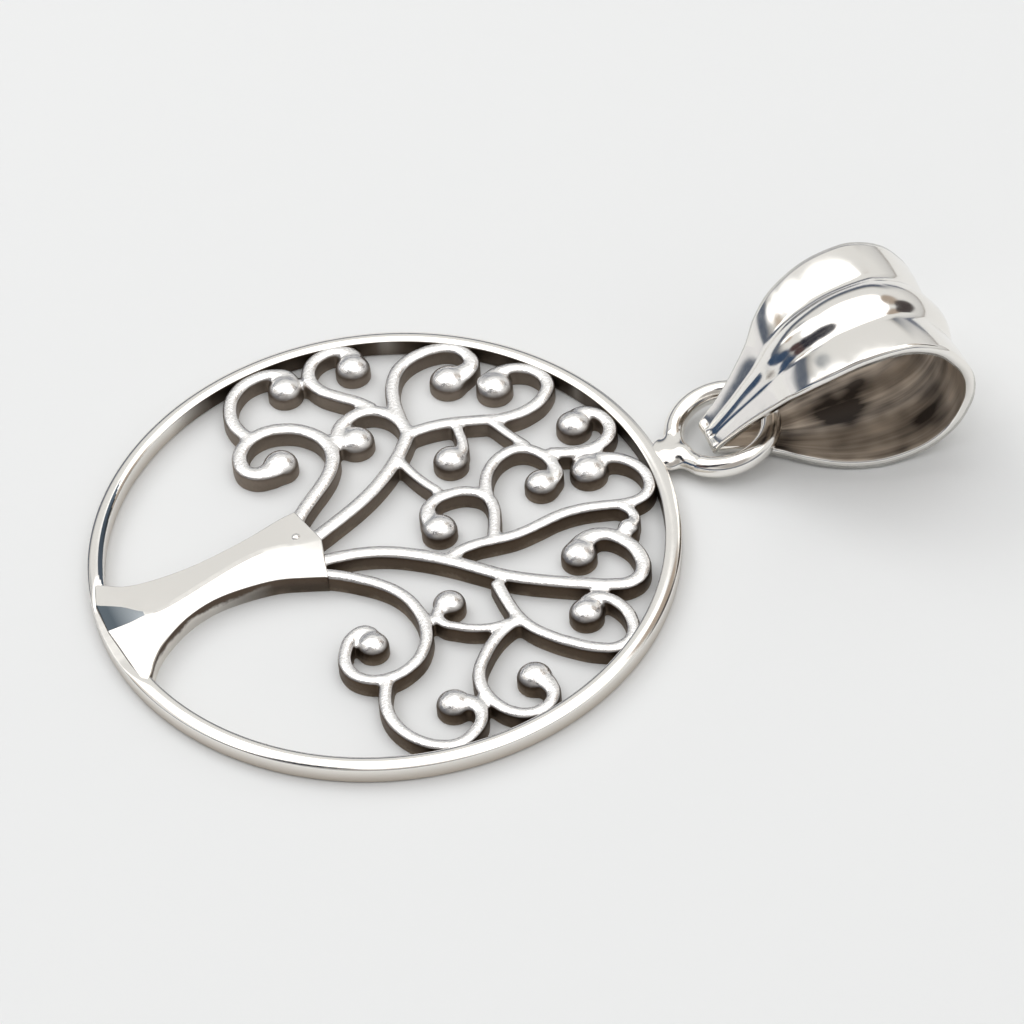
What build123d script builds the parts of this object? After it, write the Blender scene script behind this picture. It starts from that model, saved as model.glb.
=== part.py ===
from build123d import *
import math
import os

# Tree of life pendant: a pierced disc with its jump ring, and the folded sheet bail that hangs in it.
# It lies on its back, +Z up, the disc flat on the floor and the bail along +X. Millimetres.

# Disc
rim_inner_radius = 11.45
rim_width = 0.67
rim_height = 0.9
rim_crown = 0.12
rim_shoulder = 0.2
trunk_height = 0.87
branch_height = 0.82
stem_width = 0.64
broad_width = 0.6
scroll_width = 0.54
twig_width = 0.46
ball_radius = 0.75
ball_top = 0.92
ball_wall = 0.35

# Jump ring, soldered to the rim's edge and tilted up away from it
ring_radius = 2.05
ring_wire_radius = 0.45
ring_reach = 0.4
ring_side = -0.3
ring_lift = 0.1
ring_tilt = 10.0
solder_length = 1.8
solder_radius = 0.42

# Bail
bail_length = 10.1
bail_height = 6.68
bail_width = 6.6
bail_sheet = 0.42
bail_rib = 0.32
bail_band_crown = 0.12
bail_yaw = -2.5
tip_gap = 0.62
tip_side = -0.67
tip_radius = 0.36

rib_share = 0.34

# Branches: name, width, centreline as shares of the rim's inner radius, and the ball that ends it
# as its place in the same shares and its size as a share of the ball's radius.
branches = [
    ("stem_back", stem_width,
     [(-0.22, 0.26), (-0.15, 0.32), (-0.09, 0.365), (-0.045, 0.42), (-0.01, 0.48), (-0.005, 0.55), (-0.045, 0.63),
      (-0.12, 0.685), (-0.22, 0.7), (-0.29, 0.66), (-0.33, 0.585), (-0.305, 0.53), (-0.26, 0.505)],
     (-0.19, 0.54, 1.0)),
    ("back_hook", broad_width,
     [(-0.255, 0.7), (-0.28, 0.77), (-0.265, 0.86), (-0.215, 0.935), (-0.135, 0.975), (-0.05, 0.96), (-0.005, 0.92)],
     (-0.04, 0.885, 1.0)),
    ("stem_upper", stem_width,
     [(-0.19, 0.14), (-0.085, 0.185), (0.0, 0.225), (0.085, 0.275), (0.18, 0.35), (0.24, 0.415), (0.28, 0.465)],
     None),
    ("upper_curl", broad_width,
     [(0.28, 0.465), (0.28, 0.525), (0.245, 0.605), (0.175, 0.64), (0.105, 0.625), (0.05, 0.585), (0.045, 0.525)],
     (0.1, 0.53, 1.05)),
    ("crown_curl", broad_width,
     [(0.28, 0.465), (0.28, 0.56), (0.295, 0.66), (0.33, 0.725), (0.355, 0.775), (0.41, 0.81), (0.47, 0.825),
      (0.525, 0.825), (0.575, 0.81), (0.61, 0.785), (0.625, 0.745), (0.62, 0.7), (0.605, 0.67)],
     (0.52, 0.67, 1.08)),
    ("crown_hook", broad_width,
     [(0.21, 0.64), (0.175, 0.7), (0.125, 0.745), (0.07, 0.805), (0.055, 0.875), (0.08, 0.935), (0.13, 0.975),
      (0.2, 0.975), (0.25, 0.935)],
     (0.225, 0.88, 1.0)),
    ("middle_arm", broad_width,
     [(0.28, 0.465), (0.365, 0.465), (0.455, 0.445), (0.55, 0.41), (0.63, 0.385), (0.715, 0.385), (0.805, 0.43),
      (0.84, 0.49), (0.82, 0.55), (0.775, 0.6), (0.715, 0.61), (0.665, 0.605), (0.62, 0.575)],
     (0.66, 0.565, 1.05)),
    ("middle_bud", twig_width,
     [(0.455, 0.44), (0.445, 0.395), (0.44, 0.33), (0.42, 0.29)],
     (0.375, 0.29, 1.0)),
    ("middle_link", twig_width,
     [(0.57, 0.4), (0.59, 0.36), (0.605, 0.295), (0.645, 0.22)],
     None),
    ("inner_link", twig_width,
     [(0.2, 0.36), (0.215, 0.295), (0.235, 0.22), (0.27, 0.15)],
     None),
    ("rim_curl", broad_width,
     [(0.7, 0.155), (0.775, 0.12), (0.845, 0.105), (0.905, 0.12), (0.95, 0.165), (0.955, 0.22), (0.925, 0.27),
      (0.88, 0.295)],
     (0.845, 0.26, 1.0)),
    ("stem_front", stem_width,
     [(-0.19, 0.01), (-0.085, -0.01), (0.0, -0.045), (0.085, -0.105), (0.185, -0.18), (0.26, -0.26), (0.315, -0.32),
      (0.395, -0.375), (0.48, -0.435), (0.57, -0.485), (0.655, -0.53), (0.715, -0.55), (0.775, -0.525),
      (0.8, -0.445), (0.775, -0.355), (0.72, -0.295), (0.655, -0.285)],
     (0.61, -0.335, 1.0)),
    ("front_curl", scroll_width,
     [(0.29, -0.34), (0.29, -0.435), (0.295, -0.525), (0.32, -0.59), (0.36, -0.655), (0.425, -0.725),
      (0.49, -0.78), (0.56, -0.81), (0.615, -0.79), (0.65, -0.715), (0.645, -0.635), (0.6, -0.575), (0.55, -0.555)],
     (0.525, -0.6, 0.96)),
    ("front_hook", scroll_width,
     [(0.29, -0.54), (0.215, -0.565), (0.17, -0.605), (0.12, -0.65), (0.08, -0.695), (0.06, -0.75), (0.06, -0.805),
      (0.075, -0.87), (0.11, -0.925), (0.16, -0.955), (0.215, -0.955), (0.26, -0.92), (0.28, -0.87)],
     (0.245, -0.795, 0.97)),
    ("front_bud", twig_width,
     [(0.26, -0.54), (0.205, -0.54), (0.15, -0.52), (0.095, -0.485), (0.045, -0.437), (0.036, -0.395)],
     (0.105, -0.355, 0.91)),
    ("lower_curl", scroll_width,
     [(-0.225, -0.055), (-0.175, -0.095), (-0.13, -0.135), (-0.085, -0.18), (-0.035, -0.245), (-0.015, -0.33),
      (-0.015, -0.43), (-0.05, -0.515), (-0.13, -0.58), (-0.225, -0.6), (-0.305, -0.56), (-0.335, -0.49),
      (-0.31, -0.415), (-0.25, -0.355), (-0.2, -0.355)],
     (-0.21, -0.42, 0.88)),
    ("lower_hook", scroll_width,
     [(-0.22, -0.595), (-0.25, -0.645), (-0.275, -0.705), (-0.28, -0.775), (-0.265, -0.845), (-0.225, -0.91),
      (-0.17, -0.96), (-0.105, -0.975), (-0.05, -0.955), (0.004, -0.895), (0.02, -0.835)],
     (-0.055, -0.79, 0.96)),
    ("side_arm", scroll_width,
     [(0.175, -0.17), (0.225, -0.15), (0.29, -0.145), (0.365, -0.155), (0.435, -0.17), (0.525, -0.16), (0.61, -0.14),
      (0.7, -0.15), (0.785, -0.175), (0.845, -0.19), (0.91, -0.2), (0.955, -0.17), (0.975, -0.115), (0.97, -0.06),
      (0.945, -0.01), (0.9, 0.032), (0.845, 0.05)],
     (0.805, 0.03, 1.07)),
    ("side_curl", scroll_width,
     [(0.365, -0.14), (0.4, -0.065), (0.415, -0.01), (0.42, 0.045), (0.385, 0.095), (0.305, 0.125), (0.225, 0.105),
      (0.185, 0.06)],
     (0.21, -0.005, 1.0)),
    ("side_hook", scroll_width,
     [(0.42, 0.045), (0.43, 0.08), (0.445, 0.125), (0.48, 0.175), (0.54, 0.215), (0.61, 0.22), (0.67, 0.18),
      (0.695, 0.09), (0.675, 0.025)],
     (0.625, 0.04, 0.96)),
    ("side_bud", twig_width,
     [(0.81, -0.18), (0.838, -0.205), (0.856, -0.25), (0.85, -0.295)],
     (0.815, -0.305, 0.6)),
]

# Trunk outline, in the same shares: its two flanks from the branches down to the rim, and its top edge
trunk_back = [(-0.22, 0.3), (-0.295, 0.26), (-0.425, 0.215), (-0.575, 0.18), (-0.745, 0.17), (-0.9, 0.185),
              (-0.955, 0.205), (-0.985, 0.26)]
trunk_front = [(-0.985, -0.26), (-0.965, -0.235), (-0.92, -0.165), (-0.825, -0.085), (-0.745, -0.045),
               (-0.61, -0.005), (-0.45, -0.01), (-0.34, -0.04), (-0.225, -0.095)]
trunk_top = [(-0.2, 0.04), (-0.195, 0.16)]

# Bail sections along its outer face, from the tip over the back, round the far end and back to the tip:
# u is a share of the length, v of the height, half and sway of half the width, rib of the rib's rise.
# Columns: u, v, half, sway, rib
bail_loop = [
    (0.0, 0.093, 0.24, 0.13, 0.2),
    (0.08, 0.063, 0.27, 0.115, 0.25),
    (0.16, 0.03, 0.29, 0.1, 0.3),
    (0.24, 0.024, 0.4, 0.065, 0.4),
    (0.34, 0.03, 0.62, 0.015, 0.55),
    (0.46, 0.03, 0.83, 0.0, 0.58),
    (0.61, 0.034, 0.97, 0.0, 0.65),
    (0.78, 0.068, 1.0, 0.0, 0.8),
    (0.91, 0.18, 1.0, 0.0, 1.0),
    (0.98, 0.355, 1.0, 0.0, 1.0),
    (0.995, 0.5, 1.0, 0.0, 1.0),
    (0.98, 0.625, 1.0, 0.0, 1.0),
    (0.935, 0.745, 1.0, 0.0, 1.0),
    (0.87, 0.865, 1.0, 0.0, 1.0),
    (0.78, 0.95, 1.0, 0.0, 1.0),
    (0.68, 0.99, 0.99, 0.0, 1.0),
    (0.52, 0.965, 0.95, 0.0, 1.0),
    (0.37, 0.865, 0.86, 0.0, 0.95),
    (0.275, 0.735, 0.72, 0.015, 0.85),
    (0.215, 0.605, 0.56, 0.035, 0.75),
    (0.145, 0.475, 0.43, 0.06, 0.6),
    (0.075, 0.345, 0.33, 0.09, 0.4),
    (0.0, 0.2, 0.25, 0.13, 0.25),
]
far_end = 10


def share_points(rows, size):
    return [(x * size, y * size) for x, y in rows]


rim_outer_radius = rim_inner_radius + rim_width
ball_rows = [row[3] for row in branches if row[3]]

# The ring's wire stands a little off the rim, and is hinged up about its foot there
tilt = math.radians(ring_tilt)
ring_along = Vector(math.cos(tilt), 0, math.sin(tilt))
ring_axis = Vector(-math.sin(tilt), 0, math.cos(tilt))
ring_foot = Vector(rim_outer_radius + ring_reach + ring_wire_radius, ring_side, ring_wire_radius + ring_lift)
ring_centre = ring_foot + ring_along * ring_radius
solder_centre = Vector(rim_outer_radius + ring_reach / 2, ring_side, ring_foot.Z)

# Balls: each a short post under a dome
with BuildPart() as balls:
    for x, y, size in ball_rows:
        centre = Vector(x, y) * rim_inner_radius
        radius = ball_radius * size
        rise = ball_top - ball_wall
        dome_radius = (radius ** 2 + rise ** 2) / (2 * rise)
        edge_angle = math.degrees(math.acos(radius / dome_radius))
        with BuildSketch(Plane(origin=centre, x_dir=(1, 0, 0), z_dir=(0, -1, 0))):
            with BuildLine():
                dome = CenterArc((0, ball_top - dome_radius), dome_radius, edge_angle, 90 - edge_angle)
                Polyline(dome @ 1, (0, 0), (radius, 0), dome @ 0)
            make_face()
        revolve(axis=Axis(centre, (0, 0, 1)))

with BuildPart() as tree_disc:
    # Rim: square edged below, crowned above with small shoulders
    with BuildSketch(Plane.XZ) as rim_section:
        with BuildLine():
            shoulder_height = rim_height - rim_crown
            Polyline((rim_inner_radius + rim_shoulder, rim_height - rim_crown / 4),
                     (rim_inner_radius, shoulder_height),
                     (rim_inner_radius, 0),
                     (rim_outer_radius, 0),
                     (rim_outer_radius, shoulder_height),
                     (rim_outer_radius - rim_shoulder, rim_height - rim_crown / 4))
            ThreePointArc((rim_outer_radius - rim_shoulder, rim_height - rim_crown / 4),
                          (rim_inner_radius + rim_width / 2, rim_height),
                          (rim_inner_radius + rim_shoulder, rim_height - rim_crown / 4))
        make_face()
    revolve(axis=Axis.Z)

    # Jump ring: round wire, tilted up from its foot at the rim
    with BuildSketch(Plane(origin=ring_foot, x_dir=ring_along, z_dir=(0, -1, 0))):
        Circle(ring_wire_radius)
    revolve(axis=Axis(ring_centre, ring_axis))

    # Solder that fills between the rim's edge and the wire
    with BuildSketch(Plane(origin=solder_centre, x_dir=(0, 1, 0), z_dir=(0, 0, 1))):
        Ellipse(solder_length / 2, solder_radius)
        with Locations((0, -solder_radius)):
            Rectangle(2 * solder_length, 2 * solder_radius, mode=Mode.SUBTRACT)
    revolve(axis=Axis(solder_centre, (0, 1, 0)))

    # Trunk: one smooth plate that widens into the rim at its foot
    with BuildSketch(Plane.XY) as trunk_plan:
        with BuildLine():
            back = Spline(*share_points(trunk_back, rim_inner_radius))
            front = Spline(*share_points(trunk_front, rim_inner_radius))
            Polyline(front @ 1, *share_points(trunk_top, rim_inner_radius), back @ 0)
            ThreePointArc(back @ 1, (-rim_inner_radius - rim_width / 2, 0), front @ 0)
        make_face()
    extrude(amount=trunk_height)

    # Branches, pierced between
    with BuildSketch(Plane.XY) as branch_plan:
        for name, width, rows, ball in branches:
            points = share_points(rows, rim_inner_radius)
            trace(Spline(*points, mode=Mode.PRIVATE), line_width=width)
            with Locations(points[0], points[-1]):
                Circle(width / 2)
            if ball:
                centre = Vector(ball[0], ball[1]) * rim_inner_radius
                neck = centre - Vector(*points[-1])
                with Locations(Location(centre - neck / 2, (0, 0, math.degrees(math.atan2(neck.Y, neck.X))))):
                    Rectangle(neck.length, width)
    extrude(amount=branch_height)

    # Balls at the branches' ends
    add(balls.part)


# Bail: planes of its sections, x across the width, y outwards, z along the sheet
yaw = math.radians(bail_yaw)
bail_along = Vector(math.cos(yaw), math.sin(yaw), 0)
bail_across = Vector(-math.sin(yaw), math.cos(yaw), 0)
up = Vector(0, 0, 1)
bail_tip = Vector(ring_foot.X + ring_wire_radius + tip_gap + tip_radius, ring_side + tip_side, 0)
stations = [bail_along * (u * bail_length) + up * (v * bail_height) for u, v, half, sway, rib in bail_loop]
section_planes = []
for index, (u, v, half, sway, rib) in enumerate(bail_loop):
    run = stations[min(index + 1, len(stations) - 1)] - stations[max(index - 1, 0)]
    place = bail_tip + stations[index] + bail_across * (sway * bail_width / 2)
    section_planes.append(Plane(origin=place, x_dir=-bail_across, z_dir=run))

with BuildPart() as bail:
    # The loop in two runs that meet at the far end, each lofted through its sections
    for first, last in ((0, far_end), (far_end, len(bail_loop) - 1)):
        for index in range(first, last + 1):
            u, v, half, sway, rib = bail_loop[index]
            reach = half * bail_width / 2
            crease = reach * rib_share
            band = (reach + crease) / 2
            swell = bail_band_crown * half
            with BuildSketch(section_planes[index]):
                with BuildLine():
                    for depth in (0, -bail_sheet):
                        ThreePointArc((-reach, depth), (-band, depth + swell), (-crease, depth))
                        ThreePointArc((-crease, depth), (0, depth + rib * bail_rib), (crease, depth))
                        ThreePointArc((crease, depth), (band, depth + swell), (reach, depth))
                    Line((-reach, 0), (-reach, -bail_sheet))
                    Line((reach, 0), (reach, -bail_sheet))
                make_face()
        loft()

    # Rounded tip, where the two ends of the sheet are soldered together
    u, v, half, sway, rib = bail_loop[0]
    tip_centre = section_planes[0].origin + up * (bail_loop[-1][1] - v) * bail_height / 2
    with BuildSketch(Plane(origin=tip_centre, x_dir=bail_across, z_dir=up)):
        SlotOverall(half * bail_width, 2 * tip_radius)
        with Locations((0, -tip_radius)):
            Rectangle(2 * bail_width, 2 * tip_radius, mode=Mode.SUBTRACT)
    revolve(axis=Axis(tip_centre, bail_across))

# Both pieces lie about the middle of the whole
low = tree_disc.part.bounding_box().min
high = bail.part.bounding_box().max
middle = Location(Vector(-(low.X + high.X) / 2, 0, 0))

os.makedirs("parts", exist_ok=True)
for name, piece in (("tree_disc", tree_disc), ("bail", bail)):
    piece.part = piece.part.moved(middle)
    piece.part.label = name
    export_step(piece.part, f"parts/{name}.step")
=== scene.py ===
import math

import bmesh
import bpy
from mathutils import Matrix, Vector


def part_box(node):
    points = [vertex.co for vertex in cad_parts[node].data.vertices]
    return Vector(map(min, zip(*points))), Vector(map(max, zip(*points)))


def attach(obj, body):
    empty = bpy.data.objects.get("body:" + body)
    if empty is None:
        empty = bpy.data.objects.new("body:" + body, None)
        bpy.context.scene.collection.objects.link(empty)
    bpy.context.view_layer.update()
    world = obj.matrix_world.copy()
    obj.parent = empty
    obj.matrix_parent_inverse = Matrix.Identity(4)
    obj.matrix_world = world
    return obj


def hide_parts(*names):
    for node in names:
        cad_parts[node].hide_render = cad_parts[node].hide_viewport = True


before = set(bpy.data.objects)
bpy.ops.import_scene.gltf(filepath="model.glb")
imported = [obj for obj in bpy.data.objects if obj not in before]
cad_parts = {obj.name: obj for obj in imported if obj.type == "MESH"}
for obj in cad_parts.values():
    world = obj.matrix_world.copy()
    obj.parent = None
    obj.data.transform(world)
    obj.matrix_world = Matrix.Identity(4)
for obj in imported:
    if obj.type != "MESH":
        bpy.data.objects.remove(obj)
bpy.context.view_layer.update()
print("frame loaded")

mm = 0.001  # meshes are shaped in millimetres about the disc's centre, then brought to metres
touching = 0.0005  # points closer than this, in millimetres, are one
disc = {
    "innerRadius": 11.45,
    "outerRadius": 12.12,
    "height": 0.9,
}
discLow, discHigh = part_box("tree_disc")
discCentre = Vector((discLow.x + disc["outerRadius"] * mm, (discLow.y + discHigh.y) / 2, discLow.z))


# Helpers

def newObject(name, data):
    piece = bpy.data.objects.new(name, data)
    bpy.context.scene.collection.objects.link(piece)
    return piece


def meshOf(name, bm, materials=()):
    mesh = bpy.data.meshes.new(name)
    bm.to_mesh(mesh)
    bm.free()
    for material in materials:
        mesh.materials.append(material)
    return mesh


def newBody(name, bm, materials):
    # A finished mesh in millimetres becomes a piece in metres that rides on the pendant's one body
    bmesh.ops.transform(bm, matrix=Matrix.Translation(discCentre) @ Matrix.Scale(mm, 4), verts=bm.verts)
    mesh = meshOf(name, bm, materials)
    for face in mesh.polygons:
        face.use_smooth = True
    return newObject(name, mesh)


def addFinal(bm, piece):
    # The mesh that the piece's modifiers or its sweep give goes into the bmesh, and the piece itself is removed
    graph = bpy.context.evaluated_depsgraph_get()
    mesh = bpy.data.meshes.new_from_object(piece.evaluated_get(graph))
    bm.from_mesh(mesh)
    bpy.data.objects.remove(piece)
    bpy.data.meshes.remove(mesh)


def applied(piece):
    bm = bmesh.new()
    addFinal(bm, piece)
    return bm


def fused(bm, name, voxel, rounds):
    # Overlapping closed shapes become one skin, as cast metal is, and its steps are smoothed away
    piece = newObject(name, meshOf(name, bm))
    remesh = piece.modifiers.new("fuse", "REMESH")
    remesh.mode = "VOXEL"
    remesh.voxel_size = voxel
    smooth = piece.modifiers.new("settle", "SMOOTH")
    smooth.factor = 0.5
    smooth.iterations = rounds
    return applied(piece)


def mergeDoubles(bm):
    bmesh.ops.remove_doubles(bm, verts=bm.verts, dist=touching)
    bmesh.ops.recalc_face_normals(bm, faces=bm.faces)


def along(rows, t):
    # The table read between its rows, smoothly: t counts rows
    last = len(rows) - 1
    index = min(int(t), last - 1)
    f = t - index
    p0, p1, p2, p3 = (rows[min(max(index + k, 0), last)] for k in (-1, 0, 1, 2))
    return [0.5 * (2 * b + (c - a) * f + (2 * a - 5 * b + 4 * c - d) * f * f + (3 * b - a - 3 * c + d) * f ** 3)
            for a, b, c, d in zip(p0, p1, p2, p3)]


# Materials

def srgb(code):
    # An sRGB hex value as the linear colour that the shader takes
    parts = [int(code[i:i + 2], 16) / 255 for i in (0, 2, 4)]
    return tuple(c / 12.92 if c <= 0.04045 else ((c + 0.055) / 1.055) ** 2.4 for c in parts) + (1.0,)


def addNode(tree, kind, settings=None, links=None):
    # One node: its own properties and its inputs' values in settings, its inputs' sources in links
    node = tree.nodes.new(kind)
    for key, value in (settings or {}).items():
        if isinstance(key, int) or key in node.inputs:
            node.inputs[key].default_value = value
        else:
            setattr(node, key, value)
    for key, source in (links or {}).items():
        tree.links.new(source, node.inputs[key])
    return node


def newMaterial(name):
    material = bpy.data.materials.new(name)
    material.use_nodes = True
    tree = material.node_tree
    tree.nodes.clear()
    coords = addNode(tree, "ShaderNodeTexCoord")
    return material, tree, coords


def finishMaterial(tree, links, settings):
    shader = addNode(tree, "ShaderNodeBsdfPrincipled", settings, links)
    addNode(tree, "ShaderNodeOutputMaterial", links={"Surface": shader.outputs[0]})


def polishedSilver(name, low):
    # Sterling silver, polished on a wheel: a near mirror with the faint waviness of hand polishing; low on a wall it
    # takes the low colour, partly a thin tarnish where the wheel doesn't reach and partly painted shade, the shaded
    # floor's reflection, and brown oxide where the mesh says so
    material, tree, coords = newMaterial(name)
    point = coords.outputs["Object"]
    height = addNode(tree, "ShaderNodeSeparateXYZ", links={"Vector": point})
    # Low on a wall the colour goes to the low colour: partly tarnish, partly painted shade of the shaded floor's
    # reflection
    clearOfTarnishAndShade = addNode(tree, "ShaderNodeMapRange", {"From Min": 0.1 * mm, "From Max": 0.75 * mm},
                     {"Value": height.outputs["Z"]})
    tarnishAndShadeColour = addNode(tree, "ShaderNodeMix", {"data_type": "RGBA", 6: srgb(low), 7: srgb("F4F1EC")},
                    {0: clearOfTarnishAndShade.outputs["Result"]})
    oxide = addNode(tree, "ShaderNodeAttribute", {"attribute_name": "oxide"})
    colour = addNode(tree, "ShaderNodeMix", {"data_type": "RGBA", 7: srgb("5A5046")},
                     {0: oxide.outputs["Fac"], 6: tarnishAndShadeColour.outputs[2]})
    waves = addNode(tree, "ShaderNodeTexNoise", {"Scale": 1 / (2.2 * mm), "Detail": 1.0}, {"Vector": point})
    scuffs = addNode(tree, "ShaderNodeTexNoise", {"Scale": 1 / (0.35 * mm), "Detail": 3.0}, {"Vector": point})
    remapped = addNode(tree, "ShaderNodeMapRange", {"To Min": 0.06, "To Max": 0.2}, {"Value": scuffs.outputs["Fac"]})
    rough = addNode(tree, "ShaderNodeMath", {"operation": "MULTIPLY_ADD", 1: 0.35},
                    {0: oxide.outputs["Fac"], 2: remapped.outputs["Result"]})
    bump = addNode(tree, "ShaderNodeBump", {"Strength": 0.12, "Distance": 0.05 * mm},
                   {"Height": waves.outputs["Fac"]})
    finishMaterial(tree, {"Base Color": colour.outputs[2], "Roughness": rough.outputs["Value"],
                          "Normal": bump.outputs["Normal"]}, {"Metallic": 1.0})
    return material


def castSilver():
    # Sterling silver as cast and tumbled: grainy skin, bright where the polishing mop reached the tops, beige to dark
    # brown where the oxide stays on the pierced walls and in the pits, the beige low down partly a painted reflection
    # of the floor, paler at the back, and near white low on the walls at the foot, a painted reflection of the bright
    # floor
    material, tree, coords = newMaterial("oxidisedCastSilver")
    point = coords.outputs["Object"]
    normal = addNode(tree, "ShaderNodeSeparateXYZ", links={"Vector": coords.outputs["Normal"]})
    place = addNode(tree, "ShaderNodeSeparateXYZ", links={"Vector": point})
    grain = addNode(tree, "ShaderNodeTexNoise", {"Scale": 1 / (0.13 * mm), "Detail": 3.0, "Roughness": 0.6},
                    {"Vector": point})
    patches = addNode(tree, "ShaderNodeTexNoise", {"Scale": 1 / (1.4 * mm), "Detail": 2.0}, {"Vector": point})
    facing = addNode(tree, "ShaderNodeMath", {"operation": "MULTIPLY_ADD", 1: 0.35},
                     {0: patches.outputs["Fac"], 2: normal.outputs["Z"]})
    mopped = addNode(tree, "ShaderNodeMapRange", {"From Min": 0.53, "From Max": 0.98}, {"Value": facing.outputs[0]})
    pits = addNode(tree, "ShaderNodeMapRange", {"From Min": 0.27, "From Max": 0.45, "To Min": 0.8},
                   {"Value": grain.outputs["Fac"]})
    bright = addNode(tree, "ShaderNodeMath", {"operation": "MULTIPLY"},
                     {0: mopped.outputs["Result"], 1: pits.outputs["Result"]})
    ragged = addNode(tree, "ShaderNodeMath", {"operation": "MULTIPLY_ADD", 1: 0.25 * mm},
                     {0: grain.outputs["Fac"], 2: place.outputs["Z"]})
    cloudy = addNode(tree, "ShaderNodeMath", {"operation": "MULTIPLY_ADD", 1: 0.8 * mm},
                     {0: patches.outputs["Fac"], 2: ragged.outputs[0]})
    wall = addNode(tree, "ShaderNodeMapRange", {"From Min": 0.4 * mm, "From Max": 1.4 * mm},
                   {"Value": cloudy.outputs[0]})
    # The walls' colour by height: dark brown oxide higher up, beige low down, partly the wires' brighter undersides
    # and partly a painted reflection of the floor
    oxide = addNode(tree, "ShaderNodeValToRGB", links={"Fac": wall.outputs["Result"]})
    oxide.color_ramp.elements[0].color = srgb("968878")
    oxide.color_ramp.elements[1].color = srgb("524236")
    oxide.color_ramp.elements.new(0.35).color = srgb("65584A")
    # Near the trunk's foot the walls' lower parts are painted near white: a painted reflection of the bright floor
    remapped = addNode(tree, "ShaderNodeMapRange", {"From Min": 0.78, "From Max": 0.6, "To Max": 1.0},
                   {"Value": wall.outputs["Result"]})
    foot = addNode(tree, "ShaderNodeMapRange", {"From Min": -11.2 * mm, "From Max": -13.7 * mm},
                   {"Value": place.outputs["X"]})
    paintedFootReflection = addNode(tree, "ShaderNodeMath", {"operation": "MULTIPLY"},
                     {0: remapped.outputs["Result"], 1: foot.outputs["Result"]})
    back = addNode(tree, "ShaderNodeMapRange", {"From Min": -2 * mm, "From Max": 6 * mm, "To Max": 0.6},
                   {"Value": place.outputs["Y"]})
    paler = addNode(tree, "ShaderNodeMix", {"data_type": "RGBA", 7: srgb("9A8F84")},
                    {0: back.outputs["Result"], 6: oxide.outputs["Color"]})
    walls = addNode(tree, "ShaderNodeMix", {"data_type": "RGBA", 7: srgb("F4F0EA")},
                    {0: paintedFootReflection.outputs["Value"], 6: paler.outputs[2]})
    colour = addNode(tree, "ShaderNodeMix", {"data_type": "RGBA", 7: srgb("F6F4F2")},
                     {0: bright.outputs["Value"], 6: walls.outputs[2]})
    rough = addNode(tree, "ShaderNodeMapRange", {"To Min": 0.5, "To Max": 0.22}, {"Value": bright.outputs["Value"]})
    bump = addNode(tree, "ShaderNodeBump", {"Strength": 0.34, "Distance": 0.05 * mm},
                   {"Height": grain.outputs["Fac"]})
    finishMaterial(tree, {"Base Color": colour.outputs[2], "Roughness": rough.outputs["Result"],
                          "Normal": bump.outputs["Normal"]}, {"Metallic": 1.0})
    return material


def paintedReflectionSilver(name, dark, light):
    # Polished silver with a blue grey reflection painted into its colour, fading to one side: a painted reflection on
    # the facet ground at the trunk's foot, and one in a line along the rim's inner slope
    material, tree, coords = newMaterial(name)
    place = addNode(tree, "ShaderNodeSeparateXYZ", links={"Vector": coords.outputs["Object"]})
    fade = addNode(tree, "ShaderNodeMapRange", {"From Min": -17.8 * mm, "From Max": -16.5 * mm},
                   {"Value": place.outputs["X"]})
    colour = addNode(tree, "ShaderNodeMix", {"data_type": "RGBA", 6: srgb(dark), 7: srgb(light)},
                     {0: fade.outputs["Result"]})
    finishMaterial(tree, {"Base Color": colour.outputs[2]}, {"Metallic": 1.0, "Roughness": 0.12})
    return material


def tarnishedSilver():
    # The inside of the pressed sheet, never buffed: brown grey oxide in large clouds, with streaks drawn along the
    # loop (U runs along it and V across it)
    material, tree, coords = newMaterial("tarnishedSheetSilver")
    point = coords.outputs["Object"]
    drawn = addNode(tree, "ShaderNodeMapping", {"Scale": (7, 19, 1)}, {"Vector": coords.outputs["UV"]})
    streaks = addNode(tree, "ShaderNodeTexNoise", {"Scale": 1.0, "Detail": 3.0}, {"Vector": drawn.outputs[0]})
    clouds = addNode(tree, "ShaderNodeTexNoise", {"Scale": 1 / (2.8 * mm), "Detail": 2.0}, {"Vector": point})
    both = addNode(tree, "ShaderNodeMath", {"operation": "MULTIPLY_ADD", 1: 0.35},
                   {0: streaks.outputs["Fac"], 2: clouds.outputs["Fac"]})
    grain = addNode(tree, "ShaderNodeTexNoise", {"Scale": 1 / (0.12 * mm), "Detail": 2.0}, {"Vector": point})
    colour = addNode(tree, "ShaderNodeValToRGB", links={"Fac": both.outputs[0]})
    colour.color_ramp.elements[0].position = 0.52
    colour.color_ramp.elements[1].position = 0.84
    colour.color_ramp.elements[0].color = srgb("372E27")
    colour.color_ramp.elements[1].color = srgb("D0C0AE")
    bump = addNode(tree, "ShaderNodeBump", {"Strength": 0.2, "Distance": 0.03 * mm}, {"Height": grain.outputs["Fac"]})
    finishMaterial(tree, {"Base Color": colour.outputs["Color"], "Normal": bump.outputs["Normal"]},
                   {"Metallic": 0.7, "Roughness": 0.48})
    return material


polished = polishedSilver("polishedSterlingSilver", "F4F1EC")
# The rim's silver: grey beige low on its walls, partly tarnish and partly painted shade, the shaded floor's reflection
tarnishAndShadeSilver = polishedSilver("tarnishAndPaintedShadeSterlingSilver", "D2C8BC")
cast = castSilver()
tarnished = tarnishedSilver()
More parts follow.
